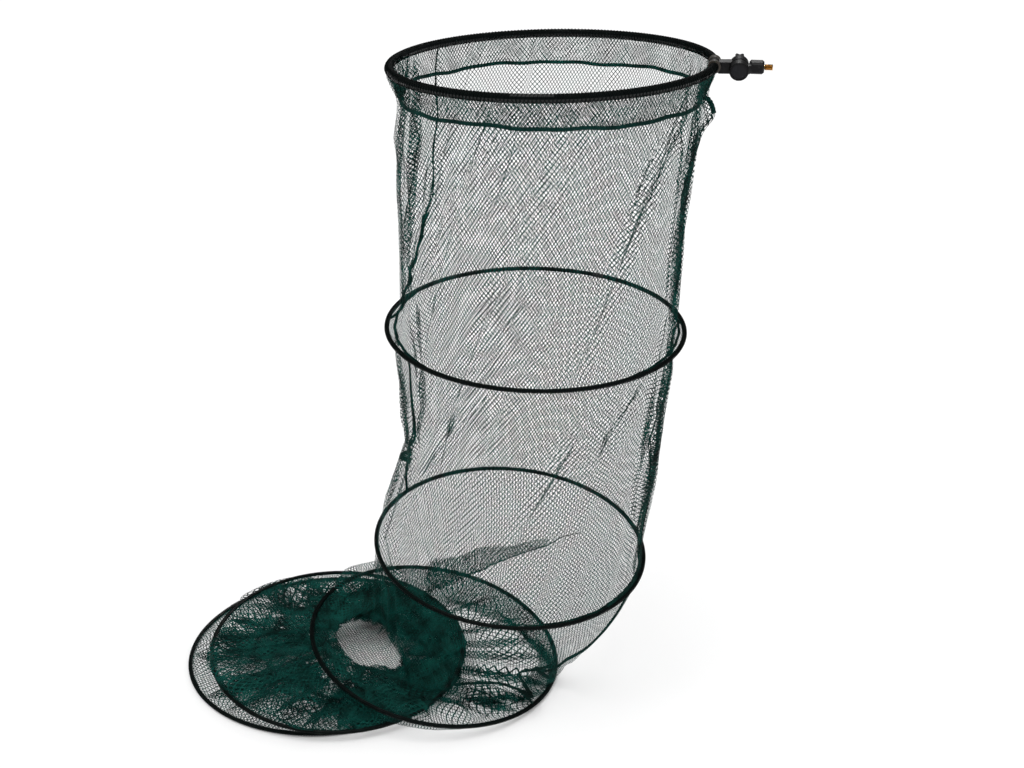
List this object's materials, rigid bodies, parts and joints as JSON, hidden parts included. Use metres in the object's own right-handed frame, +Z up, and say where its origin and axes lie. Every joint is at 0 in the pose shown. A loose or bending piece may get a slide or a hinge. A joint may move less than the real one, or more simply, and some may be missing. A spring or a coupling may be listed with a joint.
{
  "type": "keep net",
  "caption": "Round fishing keep net: fine mesh on hoops below a mouth hoop, with a collar, hung from a tilting connector with a threaded stud, its foot folded down in a pile.",
  "frame": {"origin": "centre of the end face of the threaded stud that screws into a bank stick's head", "axes": "+X out along the stud, away from the net; +Z up; the net hangs towards -Z behind the stud"},
  "size_m": [0.9624, 0.5458, 1.0809],
  "materials": {
    "black_plastic": "fine moulded satin",
    "cap_plastic": "satin",
    "gloss_black": "glossy",
    "ferrule_plastic": "worn grey-brown moulding",
    "brass": "turned, with a cut thread",
    "steel": "plain",
    "fibre": "pressed fibre",
    "coated_tube": "black coated tube with net round it",
    "coated_wire": "green-black coated wire",
    "net": "fine knotless net, dark green",
    "cord": "laid dark green cord"
  },
  "bodies": {
    "stem": {"stem": "black_plastic", "stud": "brass", "front_cap": "cap_plastic", "pivot_bolt": "steel"},
    "frame": {"ring_hub": "black_plastic", "friction_disc": "fibre", "top_ring": "coated_tube", "ferrule_front": "ferrule_plastic", "ferrule_rear": "ferrule_plastic", "ring_pin_front": "steel", "ring_pin_rear": "steel", "net_collar": "net", "hem_cord": "cord", "net_panel_1": "net"},
    "washer": {"washer": "steel"},
    "knob": {"lock_knob": "gloss_black", "knob_nut": "brass"},
    "hoop_2": {"ring_2": "coated_wire", "ring_2_joiner": "gloss_black", "net_panel_2": "net"},
    "hoop_3": {"ring_3": "coated_wire", "ring_3_joiner": "gloss_black", "net_panel_3": "net"},
    "hoop_4": {"ring_4": "coated_wire", "ring_4_joiner": "gloss_black", "net_panel_4": "net"},
    "hoop_5": {"ring_5": "coated_wire", "ring_5_joiner": "gloss_black", "net_panel_5": "net"},
    "hoop_6": {"ring_6": "coated_wire", "ring_6_joiner": "gloss_black", "base_net": "net"}
  },
  "joints": [
    {"name": "frame_tilt", "type": "hinge", "parent": "stem", "child": "frame", "pos_m": [-0.049, 0, 0], "axis": [0, 0.9848, 0.1736], "range_deg": [-90, 90]},
    {"name": "washer_travel", "type": "slide", "parent": "stem", "child": "washer", "axis": [0, 0.9848, 0.1736], "range_m": [0, 0.0025]},
    {"name": "knob_turn", "type": "hinge", "parent": "washer", "child": "knob", "pos_m": [-0.049, 0, 0], "axis": [0, 0.9848, 0.1736], "range_deg": [0, 720]},
    {"name": "hoop_2_lift", "type": "slide", "parent": "frame", "child": "hoop_2", "axis": [0.05, 0.0058, 0.9987], "range_m": [0, 0.33], "deforming": ["net_panel_1"]},
    {"name": "hoop_3_lift", "type": "slide", "parent": "hoop_2", "child": "hoop_3", "axis": [0.1018, -0.0159, 0.9947], "range_m": [0, 0.33], "deforming": ["net_panel_2"]},
    {"name": "hoop_4_lift", "type": "slide", "parent": "hoop_3", "child": "hoop_4", "axis": [0.5591, 0.253, 0.7896], "range_m": [0, 0.1], "deforming": ["net_panel_3"]},
    {"name": "hoop_5_draw", "type": "slide", "parent": "hoop_4", "child": "hoop_5", "axis": [-1, 0, 0], "range_m": [0, 0.12], "deforming": ["net_panel_4"]},
    {"name": "hoop_6_draw", "type": "slide", "parent": "hoop_5", "child": "hoop_6", "axis": [-1, 0, 0], "range_m": [0, 0.12], "deforming": ["net_panel_5"]}
  ],
  "couplings": [
    {"joint": "washer_travel", "follows": "knob_turn", "m_per_rad": 0.000198}
  ]
}
